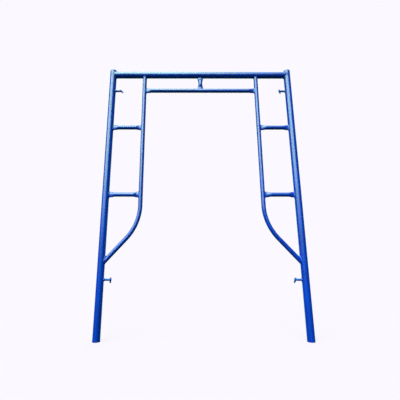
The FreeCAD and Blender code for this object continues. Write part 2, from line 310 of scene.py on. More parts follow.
def straight_tube_grid(start, end, wide_dir, half_axes, wall, mains, rows, columns=BRANCH_COLUMNS):
    """A straight tube coped at both ends on main tubes, as outer skin one way and bore the other.

    mains holds (direction, radius) of the main tube at each end. A row's distance runs evenly
    between the two cuts, which differ at each angle, and a point is start + axis distance +
    wide_dir wide cos(angle) + thin_dir thin sin(angle).
    """
    run = end - start
    length = np.linalg.norm(run)
    axis = run / length
    thin_dir = np.cross(axis, wide_dir)
    angle = turn(columns)
    skins = []
    for inset in (0.0, wall):
        wide, thin = (half - inset for half in half_axes(np.array([mains[0][1], length - mains[1][1]])))
        offsets = [w * np.cos(angle)[:, None] * wide_dir + t * np.sin(angle)[:, None] * thin_dir
                   for w, t in zip(wide, thin)]
        first = cut_distance(offsets[0], axis, *mains[0])
        last = length - cut_distance(offsets[1], -axis, *mains[1])
        share = np.linspace(0, 1, rows)[:, None]
        distance = first + (last - first) * share
        wide, thin = (half - inset for half in half_axes(distance))
        skins.append(start + axis * distance[..., None]
                     + wide_dir * (wide * np.cos(angle))[..., None]
                     + thin_dir * (thin * np.sin(angle))[..., None])
    return np.vstack((skins[0], skins[1][::-1]))


def bend_line(distance, sign, upright):
    """Places, inward-pointing directions and turns along an inner leg's axis, below the header's axis.

    Straight down for upright, then an arc whose turn is distance over bend radius, then straight.
    """
    bend = np.clip((distance - upright) / BEND_RADIUS, 0, BEND_ANGLE)
    before = np.minimum(distance, upright)
    after = np.maximum(distance - upright - BEND_RADIUS * BEND_ANGLE, 0)
    out = BEND_RADIUS * (1 - np.cos(bend)) + after * np.sin(bend)
    down = before + BEND_RADIUS * np.sin(bend) + after * np.cos(bend)
    place = np.stack((sign * (INNER_X + out), 0 * out, HEADER_Z - down), axis=-1)
    inward = np.stack((-sign * np.cos(bend), 0 * out, -np.sin(bend)), axis=-1)
    return place, inward, bend


def inner_leg_ends(sign):
    """Straight length above the bend, whole axis length, and the foot's place and direction."""
    upright = HEADER_Z - (RUNG_Z["lower"] - BEND_START)
    bent = BEND_RADIUS * BEND_ANGLE
    reach = LEG_X - INNER_X - BEND_RADIUS * (1 - math.cos(BEND_ANGLE))
    whole = upright + bent + reach / math.sin(BEND_ANGLE)
    foot = bend_line(np.array([whole]), sign, upright)[0][0]
    down = point(sign * math.sin(BEND_ANGLE), 0, -math.cos(BEND_ANGLE))
    return upright, whole, foot, down


def inner_leg_grid(sign):
    """A bent tube coped under the header and against the main leg, as outer skin and bore.

    The section is round, and across the bend it is a little thinner in the bend's plane, by a
    half sine of the turn.
    """
    upright, whole, _, down = inner_leg_ends(sign)
    angle = turn(BRANCH_COLUMNS)
    skins = []
    for radius in (BRANCH_R, BRANCH_R - BRANCH_WALL):
        sideways = radius * np.sin(angle)[:, None] * Y_DIR
        top_offset = radius * np.cos(angle)[:, None] * -sign * X_DIR + sideways
        top = cut_distance(top_offset, -Z_DIR, X_DIR, MAIN_R)
        inward = bend_line(np.array([whole]), sign, upright)[1][0]
        foot_offset = radius * np.cos(angle)[:, None] * inward + sideways
        bottom = whole - cut_distance(foot_offset, -down, Z_DIR, MAIN_R)
        distance = top + (bottom - top) * np.linspace(0, 1, INNER_LEG_ROWS)[:, None]
        place, inward, bend = bend_line(distance, sign, upright)
        flat = BEND_FLATTENING * np.sin(math.pi * bend / BEND_ANGLE)
        skins.append(place + inward * ((radius - flat) * np.cos(angle))[..., None]
                     + Y_DIR * ((radius + flat) * np.sin(angle))[..., None])
    return np.vstack((skins[0], skins[1][::-1]))


# ---------------------------------------------------------------- weld beads

RIPPLE_PITCH = 0.0017
RIPPLE_DEPTH = 0.26           # share of the bead's bulge
DEPTH_SWAY = 0.2              # share of that depth that wanders along the bead
RIPPLE_BOW = 1.1              # how strongly a ripple bows into a crescent
RIPPLE_LEAN = 0.7             # below one, a ripple rises faster than it falls
RIPPLE_WANDER = 0.12          # how unevenly the ripples follow each other, in ripples
SWAY = 0.10                   # share by which the toes wander to and fro
SWAY_PITCHES = (0.006, 0.005)
START_SWELL = 0.10            # extra bulge where the run begins
START_LENGTH = 0.004
BEAD_BURIAL = 0.0002          # how far the bead's toes sink into the tubes
ROOT_BURIAL = 0.0008
TOE_LEAST = 0.8               # limits of a toe's distance, as shares of the bead's size
TOE_MOST = 2.2
FILLET_BULGE = 0.16           # crown height as a share of the distance from toe to toe
MITER_BULGE = 0.22
MITER_SWING = 4.0             # how quickly a header bead's toe swings round the side of the leg
ROWS_PER_RIPPLE = 8
CROWN_COLUMNS = 15
JOINT_STEPS = 1440            # points on the line of a joint before they are spaced evenly


def saddle(centre, axis, wide_dir, wide, thin, main_dir, main_r):
    """The line where a branch meets a main tube, with both tubes' outward directions along it.

    The branch's section is an ellipse, and each of its points goes out along the axis until it
    reaches the main tube's skin.
    """
    angle = turn(JOINT_STEPS)
    thin_dir = np.cross(axis, wide_dir)
    cosine, sine = np.cos(angle)[:, None], np.sin(angle)[:, None]
    offset = wide * cosine * wide_dir + thin * sine * thin_dir
    reach = cut_distance(offset, axis, main_dir, main_r)
    line = centre + offset + axis * reach[:, None]
    branch_out = unit(cosine / wide * wide_dir + sine / thin * thin_dir)
    from_main = line - centre
    main_out = unit(from_main - (from_main @ main_dir)[:, None] * main_dir)
    return line, branch_out, main_out, reach


def toe_on_main(line, branch_out, toe, centre, main_dir, main_r):
    """The bead's edge on the main tube: a step away from the branch, drawn back onto the round skin."""
    rough = line + branch_out * toe[:, None] - centre
    along = (rough @ main_dir)[:, None] * main_dir
    return centre + along + unit(rough - along) * main_r


def evenly(values, line, count):
    """Values given along a closed line, taken again at even steps of its length, from a closed loop."""
    loop = np.vstack((line, line[:1]))
    length = np.concatenate(([0], np.cumsum(np.linalg.norm(np.diff(loop, axis=0), axis=1))))
    wanted = np.linspace(0, length[-1], count, endpoint=False)
    taken = []
    for value in values:
        closed = np.vstack((value, value[:1]))
        taken.append(np.stack([np.interp(wanted, length, closed[:, k]) for k in range(3)], axis=1))
    return taken, wanted, length[-1]


def bead_grid(line, main_toe, branch_toe, outwards, main_out, branch_out, seed, bulge=FILLET_BULGE):
    """A closed ring of weld metal: the crown from toe to toe, and a shallow buried root.

    The crown is a straight line between the toes plus a parabola outwards. Its height carries the
    ripples of the torch: a saw-like wave of the distance along the bead, bowed into crescents by
    the square of the distance from the bead's middle, and a swelling where the run begins.
    """
    whole = np.linalg.norm(np.diff(np.vstack((line, line[:1])), axis=0), axis=1).sum()
    rows = int(round(whole / RIPPLE_PITCH)) * ROWS_PER_RIPPLE
    values = (line, main_toe, branch_toe, outwards, main_out, branch_out)
    values, along, whole = evenly(values, line, rows)
    line, main_toe, branch_toe, outwards, main_out, branch_out = values
    outwards, main_out, branch_out = unit(outwards), unit(main_out), unit(branch_out)
    ripples = round(whole / RIPPLE_PITCH)
    closing = 2 * math.pi * along / whole
    loop_radius = whole / 6       # about that of a ring as long as the bead
    unsteady = (wander(np.cos(closing) * loop_radius, seed, SWAY_PITCHES[0])
                + wander(np.sin(closing) * loop_radius, seed + 1, SWAY_PITCHES[1])) / 2
    spread = (1 + SWAY * unsteady)[:, None]
    main_toe = line + (main_toe - line) * spread - main_out * BEAD_BURIAL
    branch_toe = line + (branch_toe - line) * (2 - spread) - branch_out * BEAD_BURIAL
    across = np.linspace(0, 1, CROWN_COLUMNS)[None, :, None]
    crown = 4 * across * (1 - across)
    chord = np.linalg.norm(branch_toe - main_toe, axis=1)[:, None, None]
    draw = np.random.default_rng(seed)
    run_start = draw.uniform(0, 2 * math.pi)
    from_start = np.angle(np.exp(1j * (closing - run_start))) * whole / (2 * math.pi)
    swell = np.exp(-(from_start / START_LENGTH) ** 2)[:, None, None]
    unsteady = unsteady[:, None, None]
    phase = ripples * along[:, None, None] / whole
    phase = phase + RIPPLE_BOW * (across - 0.5) ** 2 + RIPPLE_WANDER * unsteady
    saw = phase - np.floor(phase)
    trough = 1 - np.sin(math.pi * saw ** RIPPLE_LEAN)
    ripple = 1 - RIPPLE_DEPTH * trough * (1 - DEPTH_SWAY + DEPTH_SWAY * unsteady)
    height = chord * (bulge + START_SWELL * swell) * crown * ripple
    crown_points = main_toe[:, None, :] * (1 - across) + branch_toe[:, None, :] * across
    crown_points = crown_points + outwards[:, None, :] * height
    root = (line - outwards * ROOT_BURIAL)[:, None, :]
    return np.concatenate((crown_points, root), axis=1)


def corner_bead(centre, axis, wide_dir, wide, thin, main_dir, main_r, size, seed, flat_top=None):
    """A bead all round a branch.

    Its toes stand size / tan(half the corner's angle) from the line, so that it is wider in a
    tight corner, within limits. flat_top is the bead's height along the branch above the main
    tube's skin, where the branch has a bevel to cover.
    """
    line, branch_out, main_out, reach = saddle(centre, axis, wide_dir, wide, thin, main_dir, main_r)
    corner = math.pi - np.arccos(np.clip((branch_out * main_out).sum(axis=1), -1, 1))
    toe = np.clip(size / np.tan(corner / 2), TOE_LEAST * size, TOE_MOST * size)
    main_toe = toe_on_main(line, branch_out, toe, centre, main_dir, main_r)
    climb = toe if flat_top is None else main_r + flat_top - reach
    branch_toe = line + axis * climb[:, None]
    return bead_grid(line, main_toe, branch_toe, main_out + branch_out, main_out, branch_out, seed)


def miter_bead(sign, size, seed):
    """The bead of two equally thick tubes, the header's end and the leg.

    The line is where they meet: up and down by the cosine and out by the sine of the angle, and
    off the leg's axis by the cosine's size. The toes are a step along each tube, and the leg's
    toe swings from up, round the side of the leg, to down.
    """
    angle = turn(JOINT_STEPS)
    centre = point(sign * LEG_X, 0, HEADER_Z)
    cosine, sine = np.cos(angle)[:, None], np.sin(angle)[:, None]
    inward = -sign * X_DIR
    line = centre + MAIN_R * (np.abs(cosine) * inward + sine * Y_DIR + cosine * Z_DIR)
    branch_out = sine * Y_DIR + cosine * Z_DIR
    main_out = np.abs(cosine) * inward + sine * Y_DIR
    rise = np.tanh(MITER_SWING * cosine)
    rough = line + size * (rise * Z_DIR - (1 - np.abs(rise)) * inward) - centre
    along = (rough @ Z_DIR)[:, None] * Z_DIR
    main_toe = centre + along + unit(rough - along) * MAIN_R
    branch_toe = line + inward * size
    return bead_grid(line, main_toe, branch_toe, unit(main_out) + branch_out, unit(main_out),
                     branch_out, seed, MITER_BULGE)


# ---------------------------------------------------------------- rivets

HEAD_R = 0.0027
HEAD_PROUD = 0.0005
HEAD_DROP = 0.0003            # the dome's rim, below the top of the stud's round
HEAD_SEAT = 0.0008            # the skirt's lower end, which follows the round of the stud down
RIVET_R = 0.0020
RIVET_COLUMNS = 32
DOME_STEPS = 10


def rivet_rings(centre):
    """A peened rivet lying along Y, as rings from one head to the other, and its two poles.

    The outline is (radius, height): each head is a quarter ellipse with a short skirt, on a shank.
    """
    angle = np.linspace(0, math.pi / 2, DOME_STEPS)[1:]
    top = STUD_R + HEAD_PROUD
    dome_r = HEAD_R * np.sin(angle)
    dome_y = top - (HEAD_PROUD + HEAD_DROP) * (1 - np.cos(angle))
    skirt = STUD_R - HEAD_SEAT
    half_r = np.concatenate((dome_r, [HEAD_R, RIVET_R]))
    half_y = np.concatenate((dome_y, [skirt, skirt]))
    radii = np.concatenate((half_r, half_r[::-1]))[:, None]
    heights = np.concatenate((half_y, -half_y[::-1]))[:, None]
    spin = turn(RIVET_COLUMNS)[None, :]
    rings = np.stack(np.broadcast_arrays(centre[0] + radii * np.cos(spin), centre[1] + heights,
                                         centre[2] + radii * np.sin(spin)), axis=-1)
    poles = np.array([centre + top * Y_DIR, centre - top * Y_DIR])
    return rings, poles


# ---------------------------------------------------------------- shader parts

def new_group(name, inputs, outputs):
    """An empty shader node group with named sockets. inputs are (name, kind, value)."""
    group = bpy.data.node_groups.new(name, "ShaderNodeTree")
    for label, kind, value in inputs:
        socket = group.interface.new_socket(name=label, in_out="INPUT", socket_type=kind)
        socket.default_value = value
    for label, kind in outputs:
        group.interface.new_socket(name=label, in_out="OUTPUT", socket_type=kind)
    entry = group.nodes.new("NodeGroupInput")
    leave = group.nodes.new("NodeGroupOutput")
    return group, entry, leave


def put(value, socket, links):
    """Links an output to a socket, or sets a plain value on it."""
    if isinstance(value, bpy.types.NodeSocket):
        links.new(value, socket)
    elif value is not None:
        socket.default_value = value


def calc(tree, operation, first, second=None, third=None, clamp=False):
    """One Math node."""
    node = tree.nodes.new("ShaderNodeMath")
    node.operation = operation
    node.use_clamp = clamp
    for socket, value in zip(node.inputs, (first, second, third)):
        put(value, socket, tree.links)
    return node.outputs[0]


def ramp(tree, value, low, high, to_low=0.0, to_high=1.0):
    """A smooth step: value between low and high becomes to_low to to_high."""
    node = tree.nodes.new("ShaderNodeMapRange")
    node.interpolation_type = "SMOOTHSTEP"
    for label, setting in (("Value", value), ("From Min", low), ("From Max", high),
                           ("To Min", to_low), ("To Max", to_high)):
        put(setting, node.inputs[label], tree.links)
    return node.outputs["Result"]


def blend_colour(tree, share, first, second):
    """Two colours mixed."""
    node = tree.nodes.new("ShaderNodeMix")
    node.data_type = "RGBA"
    for label, value in (("Factor_Float", share), ("A_Color", first), ("B_Color", second)):
        socket = next(s for s in node.inputs if s.identifier == label)
        put(value, socket, tree.links)
    return next(s for s in node.outputs if s.identifier == "Result_Color")


def stretched(tree, coords, scale):
    """Coordinates multiplied along each axis."""
    node = tree.nodes.new("ShaderNodeVectorMath")
    node.operation = "MULTIPLY"
    tree.links.new(coords, node.inputs[0])
    node.inputs[1].default_value = scale
    return node.outputs[0]


def noise(tree, coords, scale, detail=2.0, roughness=0.5, distortion=0.0):
    """A cloudy pattern between 0 and 1."""
    node = tree.nodes.new("ShaderNodeTexNoise")
    tree.links.new(coords, node.inputs["Vector"])
    for label, value in (("Scale", scale), ("Detail", detail), ("Roughness", roughness),
                         ("Distortion", distortion)):
        put(value, node.inputs[label], tree.links)
    return node.outputs["Fac"]


def object_coords(tree):
    """The piece's own coordinates, in metres."""
    return tree.nodes.new("ShaderNodeTexCoord").outputs["Object"]


RUN_HEIGHT = 0.05             # millimetres
PEEL_HEIGHT = 0.008           # millimetres


def dipped_enamel_group():
    """Glossy dipped enamel: slow tone changes, runs down the piece, and the fine peel of the film.

    Height is in millimetres.
    """
    group, entry, leave = new_group(
        "dipped_enamel",
        [("Thin film", "NodeSocketColor", (0.0, 0.04, 0.4, 1)),
         ("Thick film", "NodeSocketColor", (0.0, 0.02, 0.3, 1)),
         ("Gloss roughness", "NodeSocketFloat", 0.2),
         ("Peel", "NodeSocketFloat", 1.0)],
        [("Color", "NodeSocketColor"), ("Roughness", "NodeSocketFloat"), ("Height", "NodeSocketFloat")])
    coords = object_coords(group)
    tone = noise(group, coords, scale=5.0, detail=3.0, roughness=0.55)
    drawn_out = stretched(group, coords, (1.0, 1.0, 0.06))
    runs = noise(group, drawn_out, scale=85.0, detail=2.0, roughness=0.5)
    peel = noise(group, coords, scale=520.0, detail=1.5, roughness=0.45)
    pores = noise(group, coords, scale=2600.0, detail=1.0, roughness=0.5)
    film = calc(group, "ADD", calc(group, "MULTIPLY", tone, 0.6), calc(group, "MULTIPLY", runs, 0.4))
    thick = ramp(group, film, low=0.38, high=0.62)
    group.links.new(blend_colour(group, thick, entry.outputs["Thin film"], entry.outputs["Thick film"]),
                    leave.inputs["Color"])
    uneven = calc(group, "MULTIPLY_ADD", tone, 0.10, -0.05)
    haze = calc(group, "MULTIPLY", ramp(group, pores, low=0.5, high=0.75), 0.04)
    rough = calc(group, "ADD", calc(group, "ADD", entry.outputs["Gloss roughness"], uneven), haze)
    group.links.new(rough, leave.inputs["Roughness"])
    run_relief = calc(group, "MULTIPLY", runs, RUN_HEIGHT)
    relief = calc(group, "ADD", run_relief, calc(group, "MULTIPLY", peel, PEEL_HEIGHT))
    group.links.new(calc(group, "MULTIPLY", relief, entry.outputs["Peel"]), leave.inputs["Height"])
    return group


def chips_group():
    """Chips and scratches knocked through the film, denser where Exposure is high.

    A chip is where a fine noise passes a limit, which is lower inside cloudy patches. A scratch is
    where a noise drawn out level or upright passes another.
    """
    group, entry, leave = new_group(
        "chips", [("Exposure", "NodeSocketFloat", 0.3), ("Size", "NodeSocketFloat", 1.0)],
        [("Chip", "NodeSocketFloat"), ("Scratch", "NodeSocketFloat")])
    coords = object_coords(group)
    finer = calc(group, "DIVIDE", 190.0, entry.outputs["Size"])
    flakes = noise(group, coords, scale=finer, detail=4.0, roughness=0.62)
    patches = noise(group, coords, scale=24.0, detail=2.0, roughness=0.5)
    wanted = calc(group, "MULTIPLY_ADD", entry.outputs["Exposure"], -0.30, 0.84)
    near = calc(group, "MULTIPLY_ADD", ramp(group, patches, low=0.42, high=0.68), -0.08, wanted)
    chip = ramp(group, flakes, low=near, high=calc(group, "ADD", near, 0.02))
    group.links.new(chip, leave.inputs["Chip"])
    drawn = {"scale": 90.0, "detail": 3.0, "roughness": 0.6, "distortion": 0.4}
    level = noise(group, stretched(group, coords, (1.0, 1.0, 14.0)), **drawn)
    upright = noise(group, stretched(group, coords, (14.0, 1.0, 1.0)), **drawn)
    line = calc(group, "MAXIMUM", level, upright)
    limit = calc(group, "MULTIPLY_ADD", entry.outputs["Exposure"], -0.10, 0.76)
    scratch = ramp(group, line, low=limit, high=calc(group, "ADD", limit, 0.03))
    group.links.new(scratch, leave.inputs["Scratch"])
    return group


def dust_group():
    """Settled dust: thicker on faces that look up, broken by a cloudy pattern."""
    group, entry, leave = new_group("dust", [("Amount", "NodeSocketFloat", 0.2)],
                                    [("Dust", "NodeSocketFloat")])
    normal = group.nodes.new("ShaderNodeNewGeometry").outputs["Normal"]
    split = group.nodes.new("ShaderNodeSeparateXYZ")
    group.links.new(normal, split.inputs[0])
    upward = ramp(group, split.outputs["Z"], low=0.2, high=1.0)
    grains = noise(group, object_coords(group), scale=140.0, detail=4.0, roughness=0.6)
    cloud = ramp(group, grains, low=0.4, high=0.7, to_low=0.3, to_high=1.0)
    lying = calc(group, "MULTIPLY", upward, cloud)
    group.links.new(calc(group, "MULTIPLY", lying, entry.outputs["Amount"]), leave.inputs["Dust"])
    return group


def place_group(tree, group, **settings):
    """A group node in a material, with values or links for its inputs."""
    node = tree.nodes.new("ShaderNodeGroup")
    node.node_tree = group
    for label, value in settings.items():
        put(value, node.inputs[label.replace("_", " ")], tree.links)
    return node


def near_level(tree, height, level, reach):
    """A soft band that is 1 at a height and 0 beyond reach."""
    off = calc(tree, "ABSOLUTE", calc(tree, "SUBTRACT", height, level))
    return ramp(tree, off, 0.0, reach, to_low=1.0, to_high=0.0)


FOOT_REACH = 0.045            # heights over which the knocks die away
TOP_REACH = 0.03
STUD_REACH = 0.03
NEAR_LEG = 1.6                # how far from a leg's axis the knocks reach, in leg radii
END_WEAR = 0.8
STUD_WEAR = 0.4
RESTING_WEAR = 0.12


def frame_exposure(tree, across, height):
    """Where a frame gets knocked: the ends of its legs and round its brace studs.

    That wear fades out just beside the legs, and the least wear holds everywhere else.
    """
    near_leg = ramp(tree, calc(tree, "ABSOLUTE", across), LEG_X - NEAR_LEG * MAIN_R, LEG_X - MAIN_R)
    leg_ends = calc(tree, "ADD", near_level(tree, height, 0.0, FOOT_REACH),
                    near_level(tree, height, LEG_TOP, TOP_REACH))
    studs = calc(tree, "ADD", *(near_level(tree, height, level, STUD_REACH) for level in STUD_Z.values()))
    knocks = calc(tree, "ADD", calc(tree, "MULTIPLY", leg_ends, END_WEAR),
                  calc(tree, "MULTIPLY", studs, STUD_WEAR))
    return calc(tree, "MAXIMUM", calc(tree, "MULTIPLY", knocks, near_leg), RESTING_WEAR)


ROYAL_BLUE = (0.0002, 0.029, 0.35, 1)
DEEP_BLUE = (0.0002, 0.019, 0.265, 1)
SCUFFED_FILM = (0.03, 0.14, 0.50, 1)
BARE_STEEL = (0.24, 0.20, 0.24, 1)
FIRST_RUST = (0.11, 0.042, 0.03, 1)
ROAD_DUST = (0.24, 0.28, 0.40, 1)
FILM_MIRROR = (0.94, 1.0, 0.62, 1)     # the clean film's mirror colour
FILM_IOR = 1.52
COAT_ROUGHNESS = 0.10
SCRATCH_SHOW = 0.35           # how much of the scuffed colour a scratch shows
ROUGHER = {"chip": 0.35, "scratch": 0.15, "dust": 0.6}     # roughness that each adds
CHIP_METAL = 0.6
CHIP_DEPTH = 0.06             # millimetres
MILLIMETRE = 0.001


def enamel_material(name, thin, thick, roughness, exposure, chip_size=1.0, peel=1.0, dust=0.06,
                    coat=0.15, specular=0.56):
    """Blue enamel over steel: the film, chips down to the steel and its rust, scratches, and dust.

    exposure is a number, or a function of the tree, the place along X and the height.
    """
    material = bpy.data.materials.new(name)
    material.use_nodes = True
    tree = material.node_tree
    shader = tree.nodes["Principled BSDF"]
    film = place_group(tree, GROUPS["enamel"], Thin_film=thin, Thick_film=thick,
                       Gloss_roughness=roughness, Peel=peel)
    split = tree.nodes.new("ShaderNodeSeparateXYZ")
    tree.links.new(object_coords(tree), split.inputs[0])
    knocked = exposure(tree, split.outputs["X"], split.outputs["Z"]) if callable(exposure) else exposure
    wear = place_group(tree, GROUPS["chips"], Exposure=knocked, Size=chip_size)
    chip, scratch = wear.outputs["Chip"], wear.outputs["Scratch"]
    settled = place_group(tree, GROUPS["dust"], Amount=dust).outputs["Dust"]

    shown_scratch = calc(tree, "MULTIPLY", scratch, SCRATCH_SHOW)
    scratched = blend_colour(tree, shown_scratch, film.outputs["Color"], SCUFFED_FILM)
    rust = noise(tree, object_coords(tree), scale=900.0, detail=3.0, roughness=0.6)
    chipped = blend_colour(tree, chip, scratched, blend_colour(tree, rust, BARE_STEEL, FIRST_RUST))
    tree.links.new(blend_colour(tree, settled, chipped, ROAD_DUST), shader.inputs["Base Color"])

    rough = film.outputs["Roughness"]
    for mask, extra in ((chip, ROUGHER["chip"]), (scratch, ROUGHER["scratch"]), (settled, ROUGHER["dust"])):
        rough = calc(tree, "MULTIPLY_ADD", mask, extra, rough, clamp=True)
    tree.links.new(rough, shader.inputs["Roughness"])
    tree.links.new(calc(tree, "MULTIPLY", chip, CHIP_METAL), shader.inputs["Metallic"])
    if coat:
        left_coat = calc(tree, "MULTIPLY_ADD", chip, -coat, coat, clamp=True)
        tree.links.new(left_coat, shader.inputs["Coat Weight"])
    shader.inputs["IOR"].default_value = FILM_IOR
    shader.inputs["Coat Roughness"].default_value = COAT_ROUGHNESS
    shader.inputs["Specular IOR Level"].default_value = specular
    shader.inputs["Specular Tint"].default_value = FILM_MIRROR

    bump = tree.nodes.new("ShaderNodeBump")
    bump.inputs["Strength"].default_value = 1.0
    bump.inputs["Distance"].default_value = MILLIMETRE
    relief = calc(tree, "MULTIPLY_ADD", chip, -CHIP_DEPTH, film.outputs["Height"])
    tree.links.new(relief, bump.inputs["Height"])
    tree.links.new(bump.outputs["Normal"], shader.inputs["Normal"])
    return material


GROUPS = {"enamel": dipped_enamel_group(), "chips": chips_group(), "dust": dust_group()}
FINISHES = {
    "tube_paint": {"thin": ROYAL_BLUE, "thick": DEEP_BLUE, "roughness": 0.24,
                   "exposure": frame_exposure, "peel": 0.5},
    "weld_paint": {"thin": ROYAL_BLUE, "thick": (0.0002, 0.014, 0.22, 1), "roughness": 0.27,
                   "exposure": 0.15, "chip_size": 0.6, "peel": 1.6},
    "stud_paint": {"thin": (0.0002, 0.060, 0.31, 1), "thick": (0.0002, 0.038, 0.22, 1), "roughness": 0.45,
                   "exposure": 0.30, "chip_size": 0.6, "peel": 0.8, "dust": 0.02, "coat": 0.0,
                   "specular": 0.15},
    "rivet_paint": {"thin": (0.001, 0.045, 0.25, 1), "thick": (0.001, 0.028, 0.17, 1), "roughness": 0.40,
                    "exposure": 0.60, "chip_size": 0.5, "peel": 0.6, "dust": 0.02, "coat": 0.0,
                    "specular": 0.3},
    "lock_paint": {"thin": (0.0002, 0.050, 0.28, 1), "thick": (0.0002, 0.028, 0.18, 1), "roughness": 0.50,
                   "exposure": 0.36, "chip_size": 0.6, "peel": 0.8, "dust": 0.02, "coat": 0.0,
                   "specular": 0.12},
}
MATERIALS = {name: enamel_material(name, **finish) for name, finish in FINISHES.items()}


def paint_cad_nodes():
    """Gives every CAD node the finish of its slot."""
    for part in frame["record"]["subparts"]:
        slots = nodes[part["node"]].material_slots
        for index in range(len(slots)):
            slots[index].material = MATERIALS[part["material_slot"]]


# ---------------------------------------------------------------- assembly

LEG_SEED = 3


def make_tubes():
    """The legs, inner legs, header, ledger, strut and rungs, each in place of its CAD node.

    A pair such as main is the direction and radius of a tube that another one is coped to. The
    two pairs named across lie along X, for the strut.
    """
    paint = MATERIALS["tube_paint"]
    main = (Z_DIR, MAIN_R)
    across_main = (X_DIR, MAIN_R)
    branch = (Z_DIR, BRANCH_R)
    across_branch = (X_DIR, BRANCH_R)
    for side, sign in SIDES.items():
        closed_skin("tube_leg_" + side, leg_grid(sign, LEG_SEED + sign), paint, "tube_paint", "leg_" + side)
        closed_skin("tube_inner_leg_" + side, inner_leg_grid(sign), paint, "tube_paint", "inner_leg_" + side)
        for level in LEVELS:
            name = "rung_" + level + "_" + side
            outer, inner = point(sign * LEG_X, 0, RUNG_Z[level]), point(sign * INNER_X, 0, RUNG_Z[level])
            pressed = pressed_tube(LEG_X - INNER_X, MAIN_R, BRANCH_R)
            grid = straight_tube_grid(outer, inner, Z_DIR, pressed, BRANCH_WALL, (main, branch), RUNG_ROWS)
            closed_skin("tube_" + name, grid, paint, "tube_paint", name)
    left, right = point(-LEG_X, 0, HEADER_Z), point(LEG_X, 0, HEADER_Z)
    grid = straight_tube_grid(left, right, Z_DIR, round_tube(MAIN_R), MAIN_R - BORE_R, (main, main),
                              HEADER_ROWS, MAIN_COLUMNS)
    closed_skin("tube_header", grid, paint, "tube_paint", "header")
    left, right = point(-INNER_X, 0, LEDGER_Z), point(INNER_X, 0, LEDGER_Z)
    pressed = pressed_tube(2 * INNER_X, BRANCH_R, BRANCH_R)
    grid = straight_tube_grid(left, right, Z_DIR, pressed, BRANCH_WALL, (branch, branch), LEDGER_ROWS)
    closed_skin("tube_ledger", grid, paint, "tube_paint", "ledger")
    top, foot = point(0, 0, HEADER_Z), point(0, 0, LEDGER_Z)
    pressed = pressed_tube(HEADER_Z - LEDGER_Z, MAIN_R, BRANCH_R)
    grid = straight_tube_grid(top, foot, X_DIR, pressed, BRANCH_WALL, (across_main, across_branch),
                              STRUT_ROWS)
    closed_skin("tube_strut", grid, paint, "tube_paint", "header_strut")


MAIN_BEAD = 0.0042
BRANCH_BEAD = 0.0040
STUD_BEAD = 0.0034
STUD_BEAD_TOP = STUD_BEVEL + 0.0003
BEAD_SEED = 100
MITER_SEED = 50


def bead_plan():
    """Each bead's name and the joint that it fills.

    A joint is its centre, the branch's axis and wide direction, the branch's wide and thin half
    axes, the main tube's direction and radius, and the bead's size.
    """
    wide, thin = (float(half) for half in oval_half_axes(0.0))
    oval = (wide, thin)
    round_branch = (BRANCH_R, BRANCH_R)
    header_middle, ledger_middle = point(0, 0, HEADER_Z), point(0, 0, LEDGER_Z)
    plan = [
        ("strut_top", (header_middle, -Z_DIR, X_DIR, *oval, X_DIR, MAIN_R, BRANCH_BEAD)),
        ("strut_foot", (ledger_middle, Z_DIR, X_DIR, *oval, X_DIR, BRANCH_R, BRANCH_BEAD)),
    ]
    for side, sign in SIDES.items():
        inward = -sign * X_DIR
        foot, down = inner_leg_ends(sign)[2:]
        top = point(sign * INNER_X, 0, HEADER_Z)
        end = point(sign * INNER_X, 0, LEDGER_Z)
        plan += [
            ("inner_top_" + side, (top, -Z_DIR, X_DIR, *round_branch, X_DIR, MAIN_R, BRANCH_BEAD)),
            ("inner_foot_" + side, (foot, -down, Y_DIR, *round_branch, Z_DIR, MAIN_R, BRANCH_BEAD)),
            ("ledger_" + side, (end, inward, Z_DIR, *oval, Z_DIR, BRANCH_R, BRANCH_BEAD)),
        ]
    for place, sign, level in PLACES:
        inward = -sign * X_DIR
        outer, inner = point(sign * LEG_X, 0, RUNG_Z[level]), point(sign * INNER_X, 0, RUNG_Z[level])
        root = point(sign * LEG_X, 0, STUD_Z[level])
        plan += [
            ("rung_outer_" + place, (outer, inward, Z_DIR, *oval, Z_DIR, MAIN_R, BRANCH_BEAD)),
            ("rung_inner_" + place, (inner, -inward, Z_DIR, *oval, Z_DIR, BRANCH_R, BRANCH_BEAD)),
            ("stud_" + place, (root, inward, Z_DIR, STUD_R, STUD_R, Z_DIR, MAIN_R, STUD_BEAD)),
        ]
    return plan


def make_welds():
    """A rippled bead in place of each of the frame's plain CAD beads."""
    paint = MATERIALS["weld_paint"]
    for number, (name, joint) in enumerate(bead_plan()):
        flat_top = STUD_BEAD_TOP if name.startswith("stud") else None
        grid = corner_bead(*joint, BEAD_SEED + number, flat_top)
        closed_skin("bead_" + name, grid, paint, "weld_paint", "weld_" + name)
    for side, sign in SIDES.items():
        grid = miter_bead(sign, MAIN_BEAD, MITER_SEED + sign)
        closed_skin("bead_header_" + side, grid, paint, "weld_paint", "weld_header_" + side)


def make_rivets():
    """A peened rivet in place of each plain one."""
    paint = MATERIALS["rivet_paint"]
    for place, _, _ in PLACES:
        rings, poles = rivet_rings(np.array(middle("lock_rivet_" + place)))
        capped_skin("rivet_" + place, rings, poles, paint, "rivet_paint", "lock_rivet_" + place)


# ---------------------------------------------------------------- studio

PALE = (0.965, 0.945, 1.0, 1)
FLOOR_GLOW = (0.847, 0.770, 0.859, 1)   # what the lit floor lacks to match the backdrop
FLOOR_TINT = (0.05, 0.05, 0.05, 1)
FLOOR_SIZE = 60
FLOOR_DROP = 0.0005           # the floor lies this far below the legs' ends
